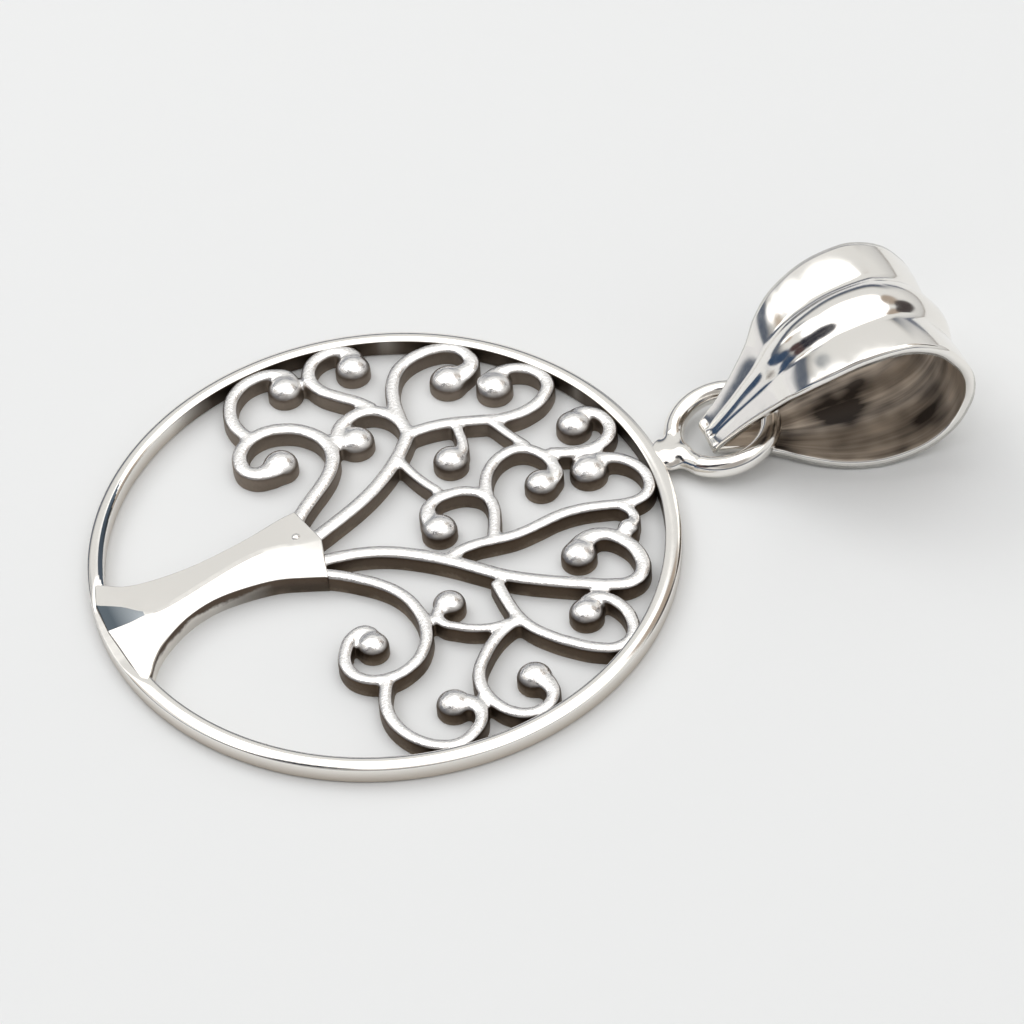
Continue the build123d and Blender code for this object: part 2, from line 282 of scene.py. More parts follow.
# Painted reflections: a blue grey one on the trunk's foot facet and a darker line on the rim's inner slope
facetReflectionPaint = paintedReflectionSilver("facetPaintedReflectionSilver", "4E565C", "AEB4B8")
rimReflectionPaint = paintedReflectionSilver("rimPaintedReflectionSilver", "5A6470", "4A545E")
print("materials made")


# Branches: scrolled wires of the casting, each with a ball at its end, fused into one skin

branchPiece = {
    "height": 0.82,
    "stem": 0.66,
    "broad": 0.62,
    "scroll": 0.56,
    "twig": 0.47,
    "crown": 0.14,  # how far a wire's top falls from its middle to its edges
    "swell": (1.06, 1.35, 2.15),  # a wire's width grows by these at its last three points, into its ball
    "ballRadius": 0.75,
    "ballTop": 0.94,
    "dome": 0.74,  # the dome's rise as a share of the ball's radius
    "sunk": 0.5,  # below the floor, to be cut off level
    "fairing": 2,
    "voxel": 0.075,
    "smoothing": 8,
}

# Name, width, centreline in shares of the rim's inner radius, and the ball: its place and its size
branchPaths = [
    ("stemBack", "stem",
     [(-0.27, 0.2), (-0.22, 0.26), (-0.15, 0.32), (-0.09, 0.365), (-0.045, 0.42), (-0.01, 0.48), (-0.005, 0.55),
      (-0.045, 0.63), (-0.12, 0.685), (-0.22, 0.7), (-0.29, 0.66), (-0.33, 0.585), (-0.305, 0.53), (-0.26, 0.505)],
     (-0.19, 0.54, 1.0)),
    ("backHook", "broad",
     [(-0.255, 0.7), (-0.28, 0.77), (-0.265, 0.86), (-0.215, 0.935), (-0.135, 0.975), (-0.05, 0.96), (-0.005, 0.92)],
     (-0.04, 0.885, 1.0)),
    ("stemUpper", "stem",
     [(-0.26, 0.11), (-0.19, 0.14), (-0.085, 0.185), (0.0, 0.225), (0.085, 0.275), (0.18, 0.35), (0.24, 0.415),
      (0.28, 0.465)],
     None),
    ("upperCurl", "broad",
     [(0.28, 0.465), (0.28, 0.525), (0.245, 0.605), (0.175, 0.64), (0.105, 0.625), (0.05, 0.585), (0.045, 0.525)],
     (0.1, 0.53, 1.05)),
    ("crownCurl", "broad",
     [(0.28, 0.465), (0.28, 0.56), (0.295, 0.66), (0.33, 0.725), (0.355, 0.775), (0.41, 0.81), (0.47, 0.825),
      (0.525, 0.825), (0.575, 0.81), (0.61, 0.785), (0.625, 0.745), (0.62, 0.7), (0.605, 0.67)],
     (0.52, 0.67, 1.08)),
    ("crownHook", "broad",
     [(0.21, 0.64), (0.175, 0.7), (0.125, 0.745), (0.07, 0.805), (0.055, 0.875), (0.08, 0.935), (0.13, 0.975),
      (0.2, 0.975), (0.25, 0.935)],
     (0.225, 0.88, 1.0)),
    ("middleArm", "broad",
     [(0.28, 0.465), (0.365, 0.465), (0.455, 0.445), (0.55, 0.41), (0.63, 0.385), (0.715, 0.385), (0.805, 0.43),
      (0.84, 0.49), (0.82, 0.55), (0.775, 0.6), (0.715, 0.61), (0.665, 0.605), (0.62, 0.575)],
     (0.66, 0.565, 1.05)),
    ("middleBud", "twig",
     [(0.455, 0.44), (0.445, 0.395), (0.44, 0.33), (0.42, 0.29)],
     (0.375, 0.29, 1.0)),
    ("middleLink", "twig", [(0.57, 0.4), (0.59, 0.36), (0.605, 0.295), (0.645, 0.22)], None),
    ("innerLink", "twig", [(0.2, 0.36), (0.215, 0.295), (0.235, 0.22), (0.27, 0.15)], None),
    ("rimCurl", "broad",
     [(0.7, 0.155), (0.775, 0.12), (0.845, 0.105), (0.905, 0.12), (0.95, 0.165), (0.955, 0.22), (0.925, 0.27),
      (0.88, 0.295)],
     (0.845, 0.26, 1.0)),
    ("stemFront", "stem",
     [(-0.26, 0.02), (-0.19, 0.01), (-0.085, -0.01), (0.0, -0.045), (0.085, -0.105), (0.185, -0.18), (0.26, -0.26),
      (0.315, -0.32), (0.395, -0.375), (0.48, -0.435), (0.57, -0.485), (0.655, -0.53), (0.715, -0.55),
      (0.775, -0.525), (0.8, -0.445), (0.775, -0.355), (0.72, -0.295), (0.655, -0.285)],
     (0.61, -0.335, 1.0)),
    ("frontCurl", "scroll",
     [(0.29, -0.34), (0.29, -0.435), (0.295, -0.525), (0.32, -0.59), (0.36, -0.655), (0.425, -0.725),
      (0.49, -0.78), (0.56, -0.81), (0.615, -0.79), (0.65, -0.715), (0.645, -0.635), (0.6, -0.575), (0.55, -0.555)],
     (0.525, -0.6, 0.96)),
    ("frontHook", "scroll",
     [(0.29, -0.54), (0.215, -0.565), (0.17, -0.605), (0.12, -0.65), (0.08, -0.695), (0.06, -0.75), (0.06, -0.805),
      (0.075, -0.87), (0.11, -0.925), (0.16, -0.955), (0.215, -0.955), (0.26, -0.92), (0.28, -0.87)],
     (0.245, -0.795, 0.97)),
    ("frontBud", "twig",
     [(0.26, -0.54), (0.205, -0.54), (0.15, -0.52), (0.095, -0.485), (0.045, -0.437), (0.036, -0.395)],
     (0.105, -0.355, 0.91)),
    ("lowerCurl", "scroll",
     [(-0.29, -0.02), (-0.225, -0.055), (-0.175, -0.095), (-0.13, -0.135), (-0.085, -0.18), (-0.035, -0.245),
      (-0.015, -0.33), (-0.015, -0.43), (-0.05, -0.515), (-0.13, -0.58), (-0.225, -0.6), (-0.305, -0.56),
      (-0.335, -0.49), (-0.31, -0.415), (-0.25, -0.355), (-0.2, -0.355)],
     (-0.21, -0.42, 0.88)),
    ("lowerHook", "scroll",
     [(-0.22, -0.595), (-0.25, -0.645), (-0.275, -0.705), (-0.28, -0.775), (-0.265, -0.845), (-0.225, -0.91),
      (-0.17, -0.96), (-0.105, -0.975), (-0.05, -0.955), (0.004, -0.895), (0.02, -0.835)],
     (-0.055, -0.79, 0.96)),
    ("sideArm", "scroll",
     [(0.175, -0.17), (0.225, -0.15), (0.29, -0.145), (0.365, -0.155), (0.435, -0.17), (0.525, -0.16), (0.61, -0.14),
      (0.7, -0.15), (0.785, -0.175), (0.845, -0.19), (0.91, -0.2), (0.955, -0.17), (0.975, -0.115), (0.97, -0.06),
      (0.945, -0.01), (0.9, 0.032), (0.845, 0.05)],
     (0.805, 0.03, 1.07)),
    ("sideCurl", "scroll",
     [(0.365, -0.14), (0.4, -0.065), (0.415, -0.01), (0.42, 0.045), (0.385, 0.095), (0.305, 0.125), (0.225, 0.105),
      (0.185, 0.06)],
     (0.21, -0.005, 1.0)),
    ("sideHook", "scroll",
     [(0.42, 0.045), (0.43, 0.08), (0.445, 0.125), (0.48, 0.175), (0.54, 0.215), (0.61, 0.22), (0.67, 0.18),
      (0.695, 0.09), (0.675, 0.025)],
     (0.625, 0.04, 0.96)),
    ("sideBud", "twig",
     [(0.81, -0.18), (0.838, -0.205), (0.856, -0.25), (0.85, -0.295)],
     (0.815, -0.305, 0.6)),
]


def faired(path):
    # The path with the small shake of its listed points taken out: each round draws its points in and lets them out
    # again
    points = [Vector(point) for point in path]
    for step in (0.5, -0.53) * branchPiece["fairing"]:
        inner = [b + (a + c - 2 * b) * step / 2 for a, b, c in zip(points, points[1:], points[2:])]
        points = [points[0], *inner, points[-1]]
    return points


def wireProfile(width):
    # Section of a cast wire hanging from its top: a low arch on straight walls that go down past the floor
    profile = bpy.data.curves.new("wireProfile", "CURVE")
    profile.dimensions = "2D"
    deep = branchPiece["height"] + branchPiece["sunk"]
    corners = [(-width / 2, -deep), (width / 2, -deep)]
    for turn in range(0, 181, 18):
        angle = math.radians(turn)
        corners.append((width / 2 * math.cos(angle), branchPiece["crown"] * (math.sin(angle) - 1)))
    line = profile.splines.new("POLY")
    line.points.add(len(corners) - 1)
    for point, (x, y) in zip(line.points, corners):
        point.co = (x, y, 0, 1)
    line.use_cyclic_u = True
    return newObject("wireProfile", profile)


def addWire(bm, name, path, width, ball):
    # A wire swept along its path; at its end it swells into its ball
    curve = bpy.data.curves.new(name, "CURVE")
    curve.dimensions = "3D"
    curve.twist_mode = "Z_UP"
    curve.resolution_u = 6
    section = wireProfile(width)
    curve.bevel_mode = "OBJECT"
    curve.bevel_object = section
    curve.use_fill_caps = True
    line = curve.splines.new("BEZIER")
    line.bezier_points.add(len(path) - 1)
    for knot, point in zip(line.bezier_points, faired(path)):
        knot.co = (point.x * disc["innerRadius"], point.y * disc["innerRadius"], branchPiece["height"])
        knot.handle_left_type = knot.handle_right_type = "AUTO"
    if ball:
        for knot, swell in zip(line.bezier_points[-3:], branchPiece["swell"]):
            knot.radius = max(1, swell * ball[2])
    addFinal(bm, newObject(name, curve))
    bpy.data.objects.remove(section)


def addBall(bm, x, y, radius):
    # A round ball, sunk so that only its dome stands up from a short post
    post = branchPiece["ballTop"] - radius * branchPiece["dome"]
    bmesh.ops.create_uvsphere(bm, u_segments=32, v_segments=20, radius=1.0, matrix=Matrix.Translation((x, y, post))
                              @ Matrix.Diagonal((radius, radius, radius * branchPiece["dome"], 1)))
    sunk = post + branchPiece["sunk"]
    bmesh.ops.create_cone(bm, cap_ends=True, segments=32, radius1=radius, radius2=radius, depth=sunk,
                          matrix=Matrix.Translation((x, y, post - sunk / 2)))


def makeBranches():
    bm = bmesh.new()
    size = disc["innerRadius"]
    for name, kind, path, ball in branchPaths:
        into = path + [(ball[0], ball[1])] if ball else path
        addWire(bm, name, into, branchPiece[kind], ball)
        if ball:
            addBall(bm, ball[0] * size, ball[1] * size, branchPiece["ballRadius"] * ball[2])
    mergeDoubles(bm)
    bm = fused(bm, "branches", branchPiece["voxel"], branchPiece["smoothing"])
    cut = bmesh.ops.bisect_plane(bm, geom=bm.verts[:] + bm.edges[:] + bm.faces[:], dist=0.001,
                                 plane_co=(0, 0, 0), plane_no=(0, 0, -1), clear_outer=True)
    edges = [edge for edge in cut["geom_cut"] if isinstance(edge, bmesh.types.BMEdge)]
    bmesh.ops.triangle_fill(bm, use_beauty=True, edges=edges)
    return newBody("branches", bm, [cast])


branches = makeBranches()
print("branches made", len(branches.data.polygons))


# Rim: a flat-sided ring with an arched top

rimPiece = {
    "arch": math.radians(30),  # how steep the arch is where it meets the edge's small round
    # The surface's lean outwards across the top, in degrees: the outer edge's round, the arch, the inner edge's round
    "leans": [*range(90, 30, -12), *range(30, -31, -3), *range(-42, -91, -12)],
    "outward": 0.08,  # how much the top falls towards the outside
    "edgeRound": 0.07,
    "footRound": 0.12,
    "steps": 288,
    "footReach": 1.7,  # where the trunk's foot lies over the rim, the rim's arch is ground away
    "footHeight": 0.76,
    "inward": 0.7,  # where a normal points to the middle by this share or more, it is the inner wall's
    "oxide": (1.0, 2.6),  # how near a branch the inner wall keeps its oxide, in full and at all
    "paintedLine": (138, 174, 9, 30),  # painted reflection, a dark blue grey line on the arch's inner slope: between two angles, from a slope on, its reach
}


def rimSection():
    # Points across the rim, from its outer wall over the arch and down round the floor: from the middle, and up
    half = (disc["outerRadius"] - disc["innerRadius"]) / 2
    arch, small, foot = rimPiece["arch"], rimPiece["edgeRound"], rimPiece["footRound"]
    radius = (half - small * (1 - math.sin(arch))) / math.sin(arch)
    points = []
    for turn in rimPiece["leans"]:
        lean = math.radians(turn)
        soft = min(max(lean, -arch), arch)
        x = radius * math.sin(soft) + small * (math.sin(lean) - math.sin(soft))
        z = disc["height"] - radius * (1 - math.cos(soft)) - small * (math.cos(soft) - math.cos(lean))
        points.append((x, z - rimPiece["outward"] * (x + half)))
    for side, turns in ((-1, range(90, 181, 18)), (1, range(180, 89, -18))):
        for turn in turns:
            lean = math.radians(turn)
            points.append((side * (half - foot + foot * math.sin(lean)), foot + foot * math.cos(lean)))
    return points


def makeRim():
    bm = bmesh.new()
    middle = (disc["outerRadius"] + disc["innerRadius"]) / 2
    section = [bm.verts.new((middle + x, 0, z)) for x, z in rimSection()]
    for pair in zip(section, section[1:] + section[:1]):
        bm.edges.new(pair)
    bmesh.ops.spin(bm, geom=bm.verts[:] + bm.edges[:], axis=(0, 0, 1), cent=(0, 0, 0), angle=2 * math.pi,
                   steps=rimPiece["steps"], use_merge=True)
    for vert in bm.verts:
        if vert.co.x < 0:
            away = min(max(abs(vert.co.y) / rimPiece["footReach"] - 1, 0), 1)
            vert.co.z = min(vert.co.z, rimPiece["footHeight"] + (disc["height"] - rimPiece["footHeight"]) * away)
    mergeDoubles(bm)
    materials = [tarnishAndShadeSilver, rimReflectionPaint]
    # Faces on the arch's inner slope between the two angles take the painted reflection line
    first, last, low, reach = rimPiece["paintedLine"]
    for face in bm.faces:
        around = face.calc_center_median()
        around.z = 0
        share = (math.degrees(math.atan2(around.y, around.x)) - first) / (last - first)
        lean = math.degrees(math.atan2(-face.normal.dot(around.normalized()), face.normal.z))
        paintedLine = 0 < share < 1 and low < lean < low + reach * math.sin(math.pi * share)
        face.material_index = materials.index(rimReflectionPaint if paintedLine else tarnishAndShadeSilver)
    knots = [Vector((x, y, 0)) * disc["innerRadius"] for row in branchPaths for x, y in row[2]]
    near, far = rimPiece["oxide"]
    oxide = bm.verts.layers.float.new("oxide")
    bm.normal_update()
    for vert in bm.verts:
        around = Vector((vert.co.x, vert.co.y, 0))
        if vert.normal.dot(around) < -rimPiece["inward"] * around.length:
            away = min((around - knot).length for knot in knots)
            vert[oxide] = min(max((far - away) / (far - near), 0), 1)
    return newBody("rim", bm, materials)


rim = makeRim()
print("rim made")


# Trunk: a smooth plate with a low ridge along it, widening into the rim

trunkPiece = {
    "top": 0.87,
    "edgeRound": 0.05,
    "ridgeGap": 0.02,
    # How far a face's normal rises: below the first it is a wall before the edges are rounded, below the second it
    # takes the walls' silver afterwards, and above the third it is the top
    "rises": (0.3, 0.5, 0.98),
    "crisp": math.radians(3),  # from this angle on, an edge on the top stays sharp
    "between": 4,
    "facet": -0.893,  # beyond this, towards the foot, the split is the ground facet
    "pimple": (-0.278, 0.146, 0.18, 0.05),  # place in shares of the inner radius, radius and rise
    # Stations from the branches to the foot, in shares of the inner radius: back flank x and y, ridge x and y,
    # front flank x and y, how far the ridge splits to leave the ground facet at the foot, and the heights above
    # the top of the back flank, the ridge twice and the front flank
    "stations": [
        (-0.237, 0.268, -0.2, 0.1, -0.243, -0.078, 0.0, 0.0, 0.06, 0.06, 0.0),
        (-0.3, 0.258, -0.3, 0.115, -0.305, -0.052, 0.0, 0.0, 0.08, 0.08, 0.0),
        (-0.42, 0.225, -0.402, 0.132, -0.41, -0.014, 0.0, 0.0, 0.08, 0.08, 0.0),
        (-0.54, 0.2, -0.51, 0.118, -0.535, 0.0, 0.0, 0.0, 0.08, 0.08, 0.0),
        (-0.66, 0.182, -0.64, 0.082, -0.65, -0.006, 0.0, 0.0, 0.08, 0.08, 0.0),
        (-0.78, 0.178, -0.755, 0.048, -0.765, -0.045, 0.0, 0.0, 0.08, 0.08, 0.0),
        (-0.87, 0.185, -0.84, 0.03, -0.87, -0.115, 0.0, 0.0, 0.08, 0.08, 0.0),
        (-0.925, 0.2, -0.894, 0.036, -0.93, -0.18, 0.0, 0.0, 0.08, 0.08, 0.0),
        (-0.965, 0.225, -0.955, 0.06, -0.965, -0.235, 0.031, 0.0, 0.054, 0.045, 0.0),
        (-1.005, 0.25, -1.035, 0.085, -1.0, -0.27, 0.055, -0.025, 0.013, -0.027, -0.03),
    ],
}


def makeTrunk():
    bm = bmesh.new()
    materials = [polished, cast, facetReflectionPaint]
    wall, side, level = trunkPiece["rises"]
    size = disc["innerRadius"]
    rows = trunkPiece["stations"]
    rails = [[], [], [], []]
    for step in range((len(rows) - 1) * trunkPiece["between"] + 1):
        bx, by, rx, ry, fx, fy, split, *heights = along(rows, step / trunkPiece["between"])
        gap = split + trunkPiece["ridgeGap"] / 2
        for rail, (x, y), height in zip(rails, ((bx, by), (rx, ry + gap), (rx, ry - gap), (fx, fy)), heights):
            rail.append(bm.verts.new((x * size, y * size, trunkPiece["top"] + height)))
    rails = [[bm.edges.new(pair) for pair in zip(rail, rail[1:])] for rail in rails]
    for first, second in zip(rails, rails[1:]):
        strip = bmesh.ops.bridge_loops(bm, edges=first + second)["faces"]
        for face in strip:
            # Faces of the ground facet at the foot take the blue grey painted reflection
            ground = first is rails[1] and face.calc_center_median().x < trunkPiece["facet"] * size
            face.material_index = materials.index(facetReflectionPaint if ground else polished)
    bmesh.ops.recalc_face_normals(bm, faces=bm.faces)
    if bm.faces[:][0].normal.z < 0:
        bmesh.ops.reverse_faces(bm, faces=bm.faces)
    outline = [edge for edge in bm.edges if edge.is_boundary]
    walls = bmesh.ops.extrude_edge_only(bm, edges=outline)["geom"]
    for vert in walls:
        if isinstance(vert, bmesh.types.BMVert):
            vert.co.z = 0
    bmesh.ops.contextual_create(bm, geom=[edge for edge in bm.edges if edge.is_boundary])
    bmesh.ops.recalc_face_normals(bm, faces=bm.faces)
    half = trunkPiece["top"] / 2
    rims = [edge for edge in bm.edges if len(edge.link_faces) == 2 and min(vert.co.z for vert in edge.verts) > half
            and min(face.normal.z for face in edge.link_faces) < wall
            and max(face.normal.z for face in edge.link_faces) > wall]
    bmesh.ops.bevel(bm, geom=rims, offset=trunkPiece["edgeRound"], segments=3, profile=0.5, affect="EDGES",
                    material=-1)
    bm.normal_update()
    for face in bm.faces:
        if face.normal.z < side:
            face.material_index = materials.index(cast)
    for edge in bm.edges:
        plates = [face for face in edge.link_faces if face.normal.z > level]
        edge.smooth = not plates or edge.calc_face_angle(0) < trunkPiece["crisp"]
    x, y, radius, rise = trunkPiece["pimple"]
    bmesh.ops.create_uvsphere(bm, u_segments=24, v_segments=16, radius=1.0,
                              matrix=Matrix.Translation((x * size, y * size, trunkPiece["top"] + rise))
                              @ Matrix.Diagonal((radius, radius, 2 * rise, 1)))
    return newBody("trunk", bm, materials)


trunk = makeTrunk()
print("trunk made")


# Jump ring: round wire soldered to the rim's edge, with its blob of solder

ringPiece = {
    "radius": 2.05,
    "wire": 0.45,
    "reach": 0.4,
    "side": -0.3,
    "lift": 0.1,
    "tilt": 10.0,
    "voxel": 0.045,
    "smoothing": 24,
    "flow": (1.15, 70),  # how far about the second blob, and how many rounds, the solder is smoothed into the wire
    "blobs": [
        # Place from the rim's outer radius, across, up, and the three half sizes
        (0.3, -0.35, 0.0, 0.7, 0.95, 0.4),
        (0.8, -0.62, 0.03, 0.6, 0.62, 0.52),
    ],
}


def ringPlane():
    foot = Vector((disc["outerRadius"] + ringPiece["reach"] + ringPiece["wire"], ringPiece["side"],
                   ringPiece["wire"] + ringPiece["lift"]))
    tilt = math.radians(-ringPiece["tilt"])
    return Matrix.Translation(foot) @ Matrix.Rotation(tilt, 4, "Y") @ Matrix.Translation((ringPiece["radius"], 0, 0))


def makeJumpRing():
    bm = bmesh.new()
    bmesh.ops.create_circle(bm, segments=40, radius=ringPiece["wire"], matrix=Matrix.Rotation(math.pi / 2, 4, "X"))
    bmesh.ops.translate(bm, vec=(-ringPiece["radius"], 0, 0), verts=bm.verts)
    bmesh.ops.spin(bm, geom=bm.verts[:] + bm.edges[:], axis=(0, 0, 1), cent=(0, 0, 0), angle=2 * math.pi, steps=160,
                   use_merge=True)
    bmesh.ops.transform(bm, matrix=ringPlane(), verts=bm.verts)
    height = ringPiece["wire"] + ringPiece["lift"]
    for away, across, up, *size in ringPiece["blobs"]:
        place = Matrix.Translation((disc["outerRadius"] + away, across, height + up))
        bmesh.ops.create_uvsphere(bm, u_segments=32, v_segments=20, radius=1.0,
                                  matrix=place @ Matrix.Diagonal((*size, 1)))
    bmesh.ops.recalc_face_normals(bm, faces=bm.faces)
    bm = fused(bm, "jumpRing", ringPiece["voxel"], ringPiece["smoothing"])
    away, across, up, *size = ringPiece["blobs"][1]
    solder = Vector((disc["outerRadius"] + away, across, height + up))
    reach, rounds = ringPiece["flow"]
    flowing = [vert for vert in bm.verts if (vert.co - solder).length < reach]
    for step in range(rounds):
        bmesh.ops.smooth_vert(bm, verts=flowing, factor=0.5, use_axis_x=True, use_axis_y=True, use_axis_z=True)
    return newBody("jumpRing", bm, [polished])


jumpRing = makeJumpRing()
print("jump ring made", len(jumpRing.data.polygons))


# Bail: pressed sheet folded into a drop-shaped loop, two bands with a half round rib between them

bailPiece = {
    "length": 10.1,
    "height": 6.68,
    "width": 6.6,
    "sheet": 0.42,
    "rib": 0.36,
    "bandCrown": 0.06,
    "bandTilt": 0.15,  # the bands' rise from the creases to their outer edges
    "bandSink": 0.06,
    "ribShare": 0.34,
    "yaw": -2.5,
    "tipGap": 0.62,
    "tipSide": -0.67,
    "tipRadius": 0.36,
    "across": 32,
    "between": 5,
    "nearby": 0.05,  # how many stations before and after a point give the sheet's direction there
}

# Stations of the outer face from the tip along the lower side, round the far end and over the top back to the tip,
# which it closes: shares of the length, the height, half the width twice (reach and sway) and the rib's rise
bailLoop = [
    (-0.034, 0.143, 0.22, 0.13, 0.0),
    (-0.027, 0.112, 0.235, 0.13, 0.1),
    (0.0, 0.093, 0.25, 0.13, 0.2),
    (0.08, 0.063, 0.27, 0.115, 0.25),
    (0.16, 0.03, 0.29, 0.1, 0.3),
    (0.24, 0.024, 0.4, 0.065, 0.4),
    (0.34, 0.03, 0.62, 0.015, 0.55),
    (0.46, 0.03, 0.83, 0.0, 0.58),
    (0.61, 0.034, 0.97, 0.0, 0.65),
    (0.78, 0.068, 1.0, 0.0, 0.8),
    (0.91, 0.18, 1.0, 0.0, 1.0),
    (0.98, 0.355, 1.0, 0.0, 1.0),
    (0.995, 0.5, 1.0, 0.0, 1.0),
    (0.98, 0.625, 1.0, 0.0, 1.0),
    (0.935, 0.745, 1.0, 0.0, 1.0),
    (0.87, 0.865, 1.0, 0.0, 1.0),
    (0.78, 0.95, 1.0, 0.0, 1.0),
    (0.68, 0.99, 0.99, 0.0, 1.0),
    (0.52, 0.965, 0.95, 0.0, 1.05),
    (0.37, 0.865, 0.86, 0.0, 1.1),
    (0.275, 0.735, 0.72, 0.015, 1.05),
    (0.215, 0.605, 0.56, 0.035, 0.9),
    (0.145, 0.475, 0.43, 0.06, 0.7),
    (0.075, 0.345, 0.33, 0.09, 0.45),
    (0.0, 0.205, 0.26, 0.13, 0.3),
    (-0.027, 0.176, 0.24, 0.13, 0.2),
    (-0.034, 0.143, 0.22, 0.13, 0.0),
]


def lobes(share, rib, half):
    # How far the sheet stands out of its base at a share of the half width: bands and rib are low arches
    crease = bailPiece["ribShare"]
    if abs(share) < crease:
        lift = rib * bailPiece["rib"] * (1 - (share / crease) ** 2)
    else:
        out = (abs(share) - crease) / (1 - crease)
        lift = half * (bailPiece["bandCrown"] * 4 * out * (1 - out) + bailPiece["bandTilt"] * out)
    return lift - bailPiece["bandSink"]


def makeBail():
    bm = bmesh.new()
    bm.loops.layers.uv.new("sheet")
    last = len(bailLoop) - 1
    bmesh.ops.create_grid(bm, x_segments=last * bailPiece["between"], y_segments=bailPiece["across"], size=0.5,
                          calc_uvs=True)
    foot = disc["outerRadius"] + ringPiece["reach"] + 2 * ringPiece["wire"]
    tip = Vector((foot + bailPiece["tipGap"] + bailPiece["tipRadius"], ringPiece["side"] + bailPiece["tipSide"], 0))
    turn = Matrix.Rotation(math.radians(bailPiece["yaw"]), 3, "Z")
    for vert in bm.verts:
        t = (vert.co.x + 0.5) * last
        share = vert.co.y * 2
        u, v, half, sway, rib = along(bailLoop, t)
        before = along(bailLoop, max(t - bailPiece["nearby"], 0))
        after = along(bailLoop, min(t + bailPiece["nearby"], last))
        run = Vector(((after[0] - before[0]) * bailPiece["length"], 0,
                      (after[1] - before[1]) * bailPiece["height"]))
        outward = Vector((run.z, 0, -run.x)).normalized() * lobes(share, rib, half)
        flat = Vector((u * bailPiece["length"], (share * half + sway) * bailPiece["width"] / 2,
                       v * bailPiece["height"]))
        vert.co = tip + turn @ (flat + outward)
    bm.normal_update()
    middle = sum((vert.co for vert in bm.verts), Vector()) / len(bm.verts)
    if sum((face.calc_center_median() - middle).dot(face.normal) for face in bm.faces) < 0:
        bmesh.ops.reverse_faces(bm, faces=bm.faces)
    materials = [polished, tarnished]
    piece = newObject("bailSheet", meshOf("bailSheet", bm, materials))
    thick = piece.modifiers.new("thick", "SOLIDIFY")
    thick.thickness = bailPiece["sheet"]
    thick.offset = -1
    thick.material_offset = 1
    thick.material_offset_rim = 0
    return newBody("bailSheet", applied(piece), materials)


bail = makeBail()
print("bail made", len(bail.data.polygons))


for piece, slot in ((rim, "cast_silver"), (branches, "cast_silver"), (trunk, "cast_silver"),
                    (jumpRing, "cast_silver"), (bail, "sheet_silver")):
    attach(piece, "root")
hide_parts("tree_disc")
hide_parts("tree_disc")
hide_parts("tree_disc")
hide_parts("tree_disc")
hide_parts("bail")


# Stage: floor, light and camera

stage = {
    "floorSize": 1.2,
    "floorColour": "EAEBEB",
    "aim": (5.31, -0.86, 0.9),
    "distance": 198.66,
    "azimuth": 19.3,
    "elevation": 46.87,
    "roll": 4.74,
    "viewAngle": 12.0,
    # The lamp behind the pendant, which gives the soft shadows in front of it
    "lampAzimuth": -17,
    "lampElevation": 40,
    "lampDistance": 350,
    "lampSize": 140,
    "lampPower": 0.18,
}
room = {
    # Elevation in degrees and light, from the horizon up
    "left": [(0, (0.8, 0.8, 0.82)), (6, (0.85, 0.85, 0.86)), (9, (0.09, 0.11, 0.15)), (17, (0.09, 0.11, 0.15)),
             (21, (0.5, 0.49, 0.47)), (26, (0.79, 0.79, 0.78)), (48, (0.79, 0.79, 0.78)), (51, (1.68, 1.68, 1.68))],
    "right": [(0, (0.3, 0.27, 0.24)), (4, (0.6, 0.6, 0.6)), (22, (0.79, 0.79, 0.78)), (48, (0.79, 0.79, 0.78)),
              (51, (1.68, 1.68, 1.68))],
    "sides": (0.55, 0.72),  # how far a way points along +X where the left side's bands begin and end to give way
    # Azimuth from behind the pendant towards its bail, elevation, radius and softness in degrees, and light
    "things": [
        (-38, 45, 8, 3, (1.6, 1.6, 1.6)),
        (-44, 34, 6, 2, (1.6, 1.6, 1.6)),
        (-49, 24, 5, 2, (1.6, 1.6, 1.6)),
        (-27, 31, 3, 3, (0.36, 0.38, 0.4)),
        (-58, 31, 5, 2, (0.5, 0.42, 0.34)),
        (-77, 5, 12, 3, (0.04, 0.07, 0.13)),
        (-93, 13, 10, 4, (0.04, 0.07, 0.13)),
        (-104, 33, 9, 3, (0.07, 0.04, 0.04)),
        (-111, 48, 9, 3, (0.02, 0.02, 0.03)),
        (-118, 61, 9, 3, (0.02, 0.02, 0.03)),
        (73, 44, 10, 4, (0.42, 0.35, 0.29)),
        (88, 28, 9, 3, (0.06, 0.05, 0.05)),
        (42, -2, 6, 3, (0.08, 0.1, 0.15)),
        (199, 44, 16, 14, (0.4, 0.38, 0.36)),
    ],
}


def makeFloor():
    material, tree, coords = newMaterial("matteWhiteBoard")
    grain = addNode(tree, "ShaderNodeTexNoise", {"Scale": 1 / (1.6 * mm), "Detail": 2.0},
                    {"Vector": coords.outputs["Object"]})
    bump = addNode(tree, "ShaderNodeBump", {"Strength": 0.25, "Distance": 0.12 * mm}, {"Height": grain.outputs["Fac"]})
    finishMaterial(tree, {"Normal": bump.outputs["Normal"]},
                   {"Base Color": srgb(stage["floorColour"]), "Roughness": 0.7})
    bm = bmesh.new()
    bmesh.ops.create_grid(bm, x_segments=1, y_segments=1, size=stage["floorSize"] / 2)
    floor = newObject("floor", meshOf("floor", bm, [material]))


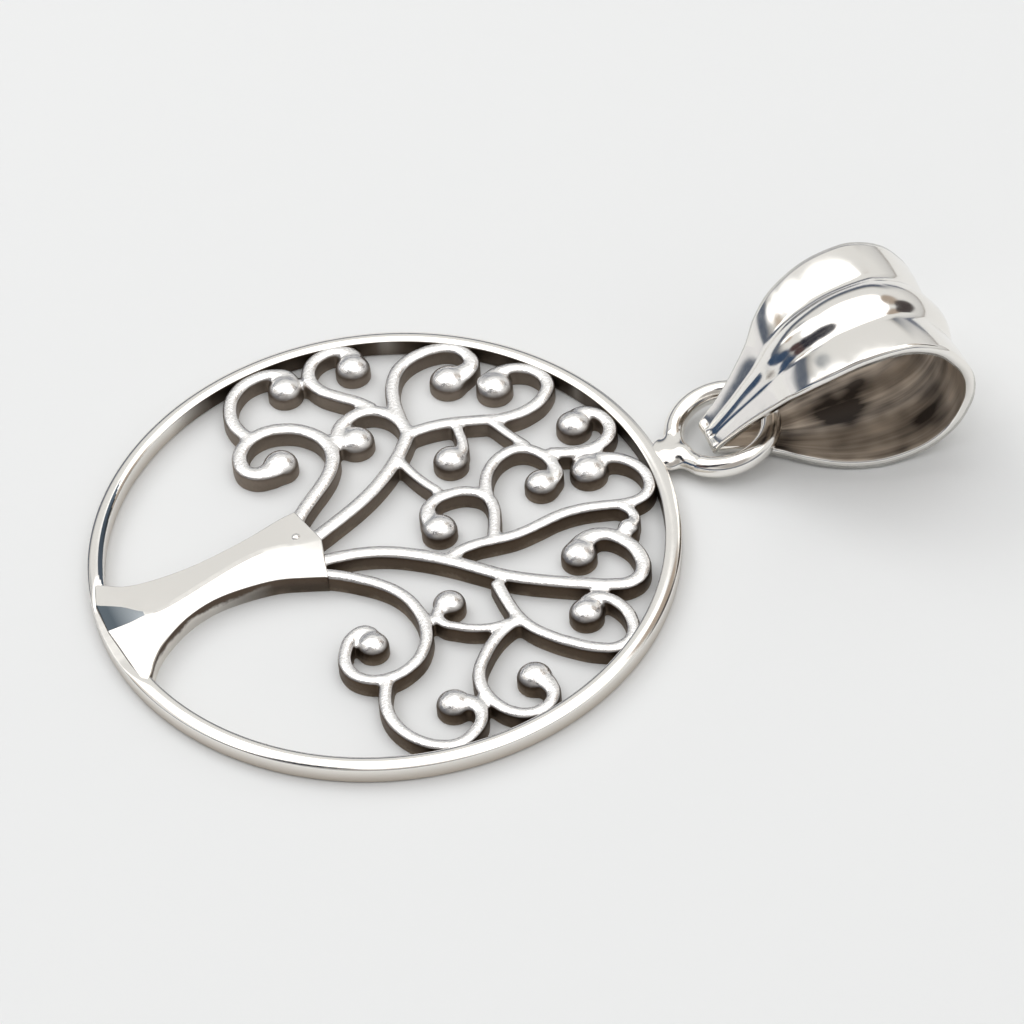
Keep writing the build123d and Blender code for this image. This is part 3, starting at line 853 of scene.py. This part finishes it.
def makeCamera():
    azimuth, elevation, roll = (math.radians(stage[key]) for key in ("azimuth", "elevation", "roll"))
    forward = Vector((math.sin(azimuth) * math.cos(elevation), math.cos(azimuth) * math.cos(elevation),
                      -math.sin(elevation)))
    right = forward.cross(Vector((0, 0, 1))).normalized()
    up = right.cross(forward)
    tiltedRight = right * math.cos(roll) - up * math.sin(roll)
    tiltedUp = up * math.cos(roll) + right * math.sin(roll)
    data = bpy.data.cameras.new("camera")
    data.sensor_width = 36
    data.angle = math.radians(stage["viewAngle"])
    data.clip_start = 0.01
    camera = newObject("camera", data)
    place = discCentre + (Vector(stage["aim"]) - forward * stage["distance"]) * mm
    basis = Matrix((tiltedRight, tiltedUp, -forward)).transposed().to_4x4()
    camera.matrix_world = Matrix.Translation(place) @ basis
    bpy.context.scene.camera = camera


def direction(azimuth, elevation):
    azimuth, elevation = math.radians(azimuth), math.radians(elevation)
    return (math.sin(azimuth) * math.cos(elevation), math.cos(azimuth) * math.cos(elevation), math.sin(elevation))


def makeLamp():
    light = bpy.data.lights.new("lamp", "AREA")
    light.size = stage["lampSize"] * mm
    light.energy = stage["lampPower"]
    lamp = newObject("lamp", light)
    lamp.visible_glossy = False  # the silver mirrors the room's window in its place
    way = Vector(direction(stage["lampAzimuth"], stage["lampElevation"]))
    lamp.matrix_world = (Matrix.Translation(way * stage["lampDistance"] * mm)
                         @ way.to_track_quat("Z", "Y").to_matrix().to_4x4())


def makeWorld():
    # The room that the silver mirrors: bright above, pale walls, dark below them, and a few things around
    world = bpy.data.worlds.new("studio")
    world.use_nodes = True
    tree = world.node_tree
    tree.nodes.clear()
    coords = addNode(tree, "ShaderNodeTexCoord")
    way = addNode(tree, "ShaderNodeSeparateXYZ", links={"Vector": coords.outputs["Generated"]})
    skies = []
    for bands in (room["left"], room["right"]):
        sky = addNode(tree, "ShaderNodeValToRGB", links={"Fac": way.outputs["Z"]})
        ramp = sky.color_ramp.elements
        ramp[1].position = 1
        ramp[0].color, ramp[1].color = (*bands[0][1], 1), (*bands[-1][1], 1)
        for elevation, colour in bands[1:]:
            ramp.new(math.sin(math.radians(elevation))).color = (*colour, 1)
        skies.append(sky)
    side = addNode(tree, "ShaderNodeMapRange", {"From Min": room["sides"][0], "From Max": room["sides"][1]},
                   {"Value": way.outputs["X"]})
    last = addNode(tree, "ShaderNodeMix", {"data_type": "RGBA"},
                   {0: side.outputs["Result"], 6: skies[0].outputs["Color"], 7: skies[1].outputs["Color"]})
    for azimuth, elevation, radius, softness, colour in room["things"]:
        near = addNode(tree, "ShaderNodeVectorMath", {"operation": "DOT_PRODUCT", 1: direction(azimuth, elevation)},
                       {0: coords.outputs["Generated"]})
        amount = addNode(tree, "ShaderNodeMapRange", {"From Min": math.cos(math.radians(radius + softness)),
                                                      "From Max": math.cos(math.radians(radius))},
                         {"Value": near.outputs["Value"]})
        last = addNode(tree, "ShaderNodeMix", {"data_type": "RGBA", 7: (*colour, 1)},
                       {0: amount.outputs["Result"], 6: last.outputs[2]})
    light = addNode(tree, "ShaderNodeBackground", links={"Color": last.outputs[2]})
    addNode(tree, "ShaderNodeOutputWorld", links={"Surface": light.outputs[0]})
    bpy.context.scene.world = world


makeFloor()
makeCamera()
makeLamp()
makeWorld()
bpy.context.scene.view_settings.view_transform = "Standard"
print("stage made")
